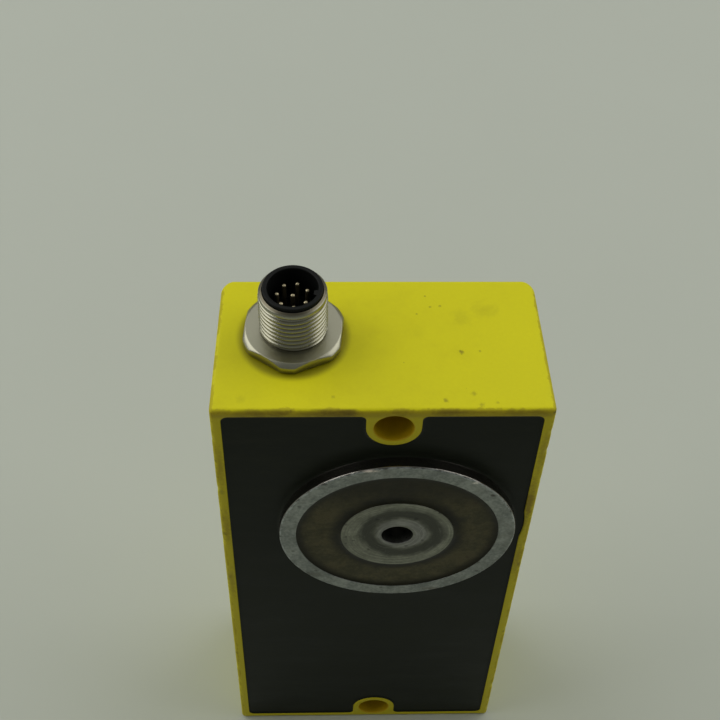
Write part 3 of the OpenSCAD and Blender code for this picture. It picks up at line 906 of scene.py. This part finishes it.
def amberResin():
    # dark amber resin, cloudy, under a thin clear skin; painted shade keeps it dark by the pole, by the ring
    # and towards the top, so it reads paler halfway between pole and ring
    inside, outside = magnet["poleRadius"], magnet["ringInside"]
    material, position = startMaterial("amber_resin")
    across, along = fromMagnet(position)
    clouds = mottle(position, 120.0, 700.0, 0.3)
    stains = mottle(position, 220.0, 1300.0, 0.4)
    dust = specksOn(position, 1000.0, 0.20, 0.05)
    # painted shade: the mask is low by the pole and by the ring, where the dished face lies in shade
    bent = distance(across, along) + (clouds - 0.5) * 0.0035
    paintedLightBand = remap(bent, (inside + 0.6) * mm, (inside + 3.2) * mm)
    paintedLightBand = paintedLightBand * remap(bent, (outside - 0.1) * mm, (outside - 2.2) * mm)
    warm = blend(remap(stains, 0.38, 0.62), (0.045, 0.041, 0.014), (0.094, 0.079, 0.032))
    base = paint(
        blend(remap(clouds, 0.35, 0.65), (0.0045, 0.0042, 0.0012), (0.017, 0.0150, 0.0045)),
        # painted shade: the paler middle fades towards the top, under the ring's top edge
        (paintedLightBand * remap(along, 0.0065, 0.0155, 1.0, 0.2) * 0.85, warm),
        (remap(stains, 0.56, 0.70, 0.0, 0.45), (0.024, 0.012, 0.005)),
        (dust * 0.25, (0.14, 0.12, 0.08)))
    rough = remap(clouds, 0.3, 0.7, 0.28, 0.44)
    bump = (clouds + stains.at("Fine") * 0.1, 0.00025, 0.4)
    skin = dict(Coat_Weight=0.04, Coat_Roughness=0.2)
    return finish(material, base, rough, bump, Specular_IOR_Level=0.12, **skin)


dress(makePot(), "magnet_pot", ringSteel())
dress(makePole(), "magnet_core", poleSteel())
dress(makeCoilResin(), "coil_resin", amberResin())
print("magnet made")

# connector: nickel shell with a helical thread, hexagonal flange, insert, pins and seals
plugCentre = (plug["x"], plug["y"], 0)
angles = np.arange(plug["columns"]) * 2 * np.pi / plug["columns"]


def polarRows(table):
    # rows of (radius, height), each a number or an array over the angles, round the connector's axis
    rows = []
    for radius, height in table:
        radius = radius + 0 * angles
        height = height + 0 * angles
        rows.append(np.stack([plug["x"] + radius * np.cos(angles), plug["y"] + radius * np.sin(angles),
                              height], -1))
    return rows


def threadRows(low, high, major, depth):
    # The radius rises and falls once a pitch, and the phase turns once round with the angle.
    count = int(round((high - low) / plug["pitch"] * plug["perTurn"]))
    heights = np.linspace(low, high, count + 1)[:, None]
    phase = (heights / plug["pitch"] - angles / (2 * np.pi)) % 1
    ridge = np.clip(1.75 * (1 - np.abs(2 * phase - 1)) - 0.30, 0, 1)
    fade = np.clip((heights - low) / 0.3, 0, 1) * np.clip((high - heights) / 0.3, 0, 1)
    radius = major - depth + depth * ridge * fade
    return [(r, h) for r, h in zip(radius, heights[:, 0])]


def makeConnectorShell():
    p = plug
    # distance from the axis to the hexagon's side at each angle, turned off at the corners
    turned = angles - math.radians(p["turn"] + 30)
    hexagon = p["flat"] / np.cos((turned + np.pi / 6) % (np.pi / 3) - np.pi / 6)
    soft = p["cornerRadius"] - np.maximum(p["cornerRadius"] - hexagon, 0)
    outline = np.minimum(hexagon, soft)
    drop = np.maximum(outline - p["chamferFrom"], 0) * p["chamferSlope"]
    rounding = 0.10
    low, high = p["flangeLow"], p["flangeHigh"]
    top = shellHigh[2]
    table = [(p["bore"], shellLow[2]), (p["tail"] - p["tailDepth"], shellLow[2])]
    table += threadRows(shellLow[2] + 0.05, low - 0.4, p["tail"], p["tailDepth"])
    table += [(p["tail"] - p["tailDepth"], low), (outline - rounding, low), (outline, low + rounding)]
    table += [(outline, high - drop - rounding), (outline - rounding * 0.5, high - drop - rounding * 0.1)]
    table += [(p["chamferFrom"] + 0.06, high - 0.035), (p["chamferFrom"] - 0.12, high)]
    table += [(p["major"] - p["depth"] * 0.4, high)]
    table += threadRows(high + p["neckHeight"], p["threadHigh"], p["major"], p["depth"])
    table += [(p["plain"], p["threadHigh"] + 0.12), (p["plain"], top - p["topEdge"])]
    table += [(p["plain"] - 0.08, top - p["topEdge"] + 0.09), (p["bore"] + 0.07, top - 0.02),
              (p["bore"], top - 0.1)]
    shell = Shell()
    shell.band(polarRows(table), closeRows=True)
    return shell.build("m12_shell", 50)


insert = dict(
    radius=5.2,
    socket=4.35,
    socketDepth=7.0,
    lip=0.22,
    keyAngle=-5,
    keyWidth=9,
    keyDepth=0.75,
    keyDrop=1.0,
    groove=4.35,
    grooveHalf=0.45,
)


def makeInsert():
    # Rows run from the bottom's centre up the outside, over the rim and down the socket.
    # The key is a bump of the socket's radius round one angle.
    i = insert
    low, top = insertLow[2], insertHigh[2]
    floor = top - i["socketDepth"]
    away = np.degrees((angles - math.radians(i["keyAngle"]) + np.pi) % (2 * np.pi) - np.pi)
    key = 1 - np.clip((np.abs(away) - i["keyWidth"] * 0.7) / (i["keyWidth"] * 0.3), 0, 1)
    key = key * key * (3 - 2 * key)
    keyed = i["socket"] - i["keyDepth"] * key
    sealZ = (cornersOf("insert_seal")[0][2] + cornersOf("insert_seal")[1][2]) / 2
    table = [(0.0, low), (i["radius"], low), (i["radius"], sealZ - i["grooveHalf"]),
             (i["groove"], sealZ - i["grooveHalf"]), (i["groove"], sealZ + i["grooveHalf"]),
             (i["radius"], sealZ + i["grooveHalf"]), (i["radius"], top - i["lip"])]
    table += [(i["radius"] - inset, top - down) for down, inset in rounding(i["lip"], 4)[1:]]
    table += [(i["socket"] + down, top - inset) for down, inset in rounding(i["lip"], 4)]
    table += [(i["socket"], top - i["keyDrop"] + 0.15), (keyed, top - i["keyDrop"]),
              (keyed, floor + 0.2), (keyed - 0.2, floor), (0.0, floor)]
    shell = Shell()
    shell.band(polarRows(table))
    return shell.build("pin_carrier")


def makePins():
    # rods with a domed tip, one for each packed pin
    for number in range(1, 9):
        low, high = cornersOf(f"contact_pin_{number}")
        radius = (high[0] - low[0]) / 2
        tip = 0.7 * radius
        dome = [(radius * math.cos(a), high[2] - tip + tip * math.sin(a)) for a in quarter(6)]
        profile = [(0, low[2]), (radius * 0.8, low[2]), (radius, low[2] + 0.15)] + dome
        profile[-1] = (0, high[2])
        pin = lathe(f"pin_{number}", profile, (low + high) / 2, "Z", 28, closed=False)
        dress(pin, f"contact_pin_{number}", gold, flats=False)


def makeSeals():
    for node, name, slotName, material in (("flange_o_ring", "flange_seal", "black_rubber", rubber),
                                           ("insert_seal", "inner_seal", "red_rubber", redRubber)):
        low, high = cornersOf(node)
        section = (high[2] - low[2]) / 2
        middle = (high[0] - low[0]) / 2 - section
        a = np.arange(20) * 2 * np.pi / 20
        profile = np.stack([middle + section * np.cos(a), (low[2] + high[2]) / 2 + section * np.sin(a)], -1)
        dress(lathe(name, profile, plugCentre, "Z", 96), node, material, flats=False)


def nickelPlate():
    # satin nickel over turned brass: turning lines, darker and browner down in the thread roots, faint stains
    material, position = startMaterial("nickel_brass")
    x, y, z = split(position)
    radius = distance(x - plug["x"] * mm, y - plug["y"] * mm)
    flange = plug["flangeHigh"]
    clouds = mottle(position, 260.0, 1800.0, 0.3)
    root = remap(radius, 0.00592, 0.00555) * maths("GREATER_THAN", z, (flange + 0.02) * mm)
    rings = noise(joined(radius, 0.0, z), 1800.0, 1.0)
    base = blend(clouds, (0.30, 0.292, 0.222), (0.42, 0.412, 0.322))
    # darker and browner down in the thread roots
    base = blend(root * 0.75, base, (0.10, 0.080, 0.050))
    rough = remap(clouds, 0.3, 0.7, 0.23, 0.33) + root * 0.12
    rough = rough + remap(z, (flange + 0.05) * mm, flange * mm, 0.0, 0.09)
    return finish(material, base, rough, (rings + clouds.at("Fine") * 0.4, 0.000004, 0.25), Metallic=1.0)


def cloudy(name, scales, low, high, gloss, bump, marks=0.0, **others):
    # A plain stuff: clouds between two tints and two roughnesses, a fine grain, and scratches by marks.
    material, position = startMaterial(name)
    clouds = mottle(position, *scales)
    base = blend(clouds, low, high)
    if marks:
        base = blend(scratches(position, 300.0, 0.01, 0.5) * marks, base, (0.8, 0.8, 0.78))
    return finish(material, base, remap(clouds, 0.3, 0.7, *gloss), (clouds.at("Fine"), *bump), **others)


def mouldedBlack(name, low, high, roughLow, roughHigh, shine=0.5):
    # moulded or sawn dark stuff
    scales, bump = (400.0, 2400.0, 0.4), (0.00002, 0.35)
    return cloudy(name, scales, low, high, (roughLow, roughHigh), bump, Specular_IOR_Level=shine)


def platedMetal(name, low, high, roughLow, roughHigh):
    # plated or drawn metal with rare scratches
    scales, bump = (500.0, 2600.0, 0.35), (0.00001, 0.3)
    return cloudy(name, scales, low, high, (roughLow, roughHigh), bump, 0.3, Metallic=1.0)


def clearPlastic(name, low, high):
    # frosted moulded plastic with a slightly milky skin
    return cloudy(name, (500.0, 2200.0, 0.4), low, high, (0.25, 0.4), (0.00001, 0.3))


nickel = nickelPlate()
gold = platedMetal("gold_plate", (0.33, 0.285, 0.18), (0.45, 0.39, 0.26), 0.32, 0.45)
rubber = mouldedBlack("black_rubber", (0.006, 0.006, 0.006), (0.014, 0.014, 0.013), 0.55, 0.7)
redRubber = mouldedBlack("red_rubber", (0.20, 0.015, 0.012), (0.30, 0.03, 0.02), 0.45, 0.6)
insertTints = (0.0022, 0.0028, 0.0026), (0.0055, 0.0062, 0.0058)
insertBlack = mouldedBlack("black_plastic", *insertTints, 0.45, 0.6, 0.16)
dress(makeConnectorShell(), "connector_shell", nickel)
dress(makeInsert(), "connector_insert", insertBlack)
makePins()
makeSeals()
print("connector made")

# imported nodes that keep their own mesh


def woundCopper():
    # enamelled turns: fine ridges along the winding and a change of tint from turn to turn
    material, position = startMaterial("enamelled_copper")
    y = split(position)[1]
    turns = noise(joined(0.0, y, 0.0), 2200.0)
    ridges = maths("ABSOLUTE", maths("SINE", y * 9000.0))
    base = blend(turns, (0.36, 0.12, 0.035), (0.60, 0.25, 0.09))
    base = blend(1.0 - ridges, base, (0.10, 0.03, 0.01))
    return finish(material, base, remap(turns, 0.3, 0.7, 0.25, 0.4), (ridges, 0.00008, 0.8), Metallic=1.0)


def boardLaminate():
    # green mask over copper tracks, drawn as a fine grid of broken lines
    material, position = startMaterial("board_laminate")
    upright = stretch(position, (1.0, 1.0, 1.0), (math.pi / 2, 0.0, 0.0))
    sizes = {"Scale": 420.0, "Mortar Size": 0.06, "Brick Width": 1.7, "Row Height": 0.4}
    track = put("ShaderNodeTexBrick", {"Vector": upright, **sizes}, "Fac")
    clouds = mottle(position, 300.0, 2000.0, 0.3)
    base = blend(clouds, (0.010, 0.085, 0.030), (0.018, 0.125, 0.045))
    base = blend(track * 0.6, base, (0.030, 0.20, 0.075))
    return finish(material, base, remap(clouds, 0.3, 0.7, 0.25, 0.38), (track, 0.00004, 0.5))


def labelFoil():
    # blank satin foil with a faint brushed direction and faint darker stains
    material, position = startMaterial("label_foil")
    grain = mottle(stretch(position, (1.0, 1.0, 14.0)), 300.0, 1500.0, 0.5)
    stains = mottle(position, 90.0, 600.0, 0.2)
    base = blend(grain, (0.52, 0.52, 0.50), (0.66, 0.66, 0.63))
    base = blend(remap(stains, 0.55, 0.8) * 0.3, base, (0.35, 0.33, 0.27))
    return finish(material, base, remap(grain, 0.3, 0.7, 0.38, 0.5), (grain.at("Fine"), 0.00001, 0.3))


copper = woundCopper()
laminate = boardLaminate()
chipBlack = mouldedBlack("chip_epoxy", (0.010, 0.010, 0.011), (0.022, 0.022, 0.023), 0.5, 0.65)
can = platedMetal("capacitor_can", (0.52, 0.52, 0.54), (0.66, 0.66, 0.68), 0.28, 0.4)
zinc = platedMetal("zinc_steel", (0.42, 0.43, 0.45), (0.58, 0.58, 0.58), 0.3, 0.45)
ferrite = mouldedBlack("ferrite", (0.020, 0.020, 0.022), (0.040, 0.040, 0.043), 0.6, 0.75)
finishes = {
    "rating_label": labelFoil(),
    "coil_bobbin": clearPlastic("nylon", (0.62, 0.58, 0.48), (0.74, 0.70, 0.60)),
    "coil_winding": copper,
    "coil_leads": mouldedBlack("wire_sleeve", (0.36, 0.015, 0.012), (0.48, 0.03, 0.025), 0.45, 0.6),
    "magnet_screw": zinc,
    "connector_locknut": nickel,
    "connector_board": laminate,
    "ribbon_cable": clearPlastic("polyimide", (0.36, 0.16, 0.03), (0.50, 0.25, 0.05)),
    "ribbon_header": insertBlack,
    "main_board": laminate,
    "microcontrollers": chipBlack,
    "output_transistors": chipBlack,
    "buffer_capacitors": can,
    "power_inductor": ferrite,
    "suppressor_diode": chipBlack,
    "clock_crystal": can,
    "antenna_former": ferrite,
    "antenna_coil": copper,
    "antenna_leads": copper,
    "status_leds": clearPlastic("led_plastic", (0.60, 0.66, 0.55), (0.74, 0.78, 0.68)),
    "light_pipes": clearPlastic("light_guide", (0.62, 0.62, 0.58), (0.78, 0.78, 0.74)),
    "board_screws": zinc,
}
for name, look in finishes.items():
    mesh = nodes[name].data
    mesh.materials.clear()
    mesh.materials.append(look)
print("inner pieces dressed")

# floor, light and tone


def makeFloor():
    # a wide pale plane under the bottom end
    mesh = bpy.data.meshes.new("floor")
    half = 3.0
    corners = [(-half, -half, 0), (half, -half, 0), (half, half, 0), (-half, half, 0)]
    mesh.from_pydata(corners, [], [(0, 1, 2, 3)])
    floor = bpy.data.objects.new("floor", mesh)
    bpy.context.collection.objects.link(floor)
    material, position = startMaterial("pale_floor")
    clouds = mottle(position, 14.0, 180.0, 0.15)
    base = blend(clouds, (0.485, 0.513, 0.452), (0.512, 0.539, 0.477))
    finish(material, base, 0.75)
    mesh.materials.append(material)


def areaLight(name, place, aim, size, power, colour):
    data = bpy.data.lights.new(name, "AREA")
    data.shape = "RECTANGLE"
    data.size, data.size_y = size
    data.energy = power
    data.color = colour
    light = bpy.data.objects.new(name, data)
    light.location = place
    light.rotation_euler = (Vector(aim) - Vector(place)).to_track_quat("-Z", "Y").to_euler()
    bpy.context.collection.objects.link(light)


def makeWorld(colour, strength):
    world = bpy.data.worlds.new("soft_room")
    world.use_nodes = True
    background = world.node_tree.nodes["Background"]
    background.inputs["Color"].default_value = (*colour, 1)
    background.inputs["Strength"].default_value = strength
    bpy.context.scene.world = world


makeFloor()
areaLight("left_window", (-0.90, 0.25, 0.80), (0, 0, 0.10), (1.3, 0.8), 6.8, (1.0, 0.995, 0.97))
areaLight("right_window", (0.90, 0.25, 0.80), (0, 0, 0.10), (1.3, 0.8), 5.4, (1.0, 0.995, 0.97))
areaLight("ceiling", (0, 0.62, 1.15), (0, 0.25, 0.0), (1.5, 0.8), 3.0, (1.0, 0.995, 0.96))
makeWorld((0.95, 1.0, 0.93), 0.185)
scene = bpy.context.scene
scene.view_settings.view_transform = "Standard"
scene.view_settings.look = "None"
scene.view_settings.exposure = 0.0
print("stage set")
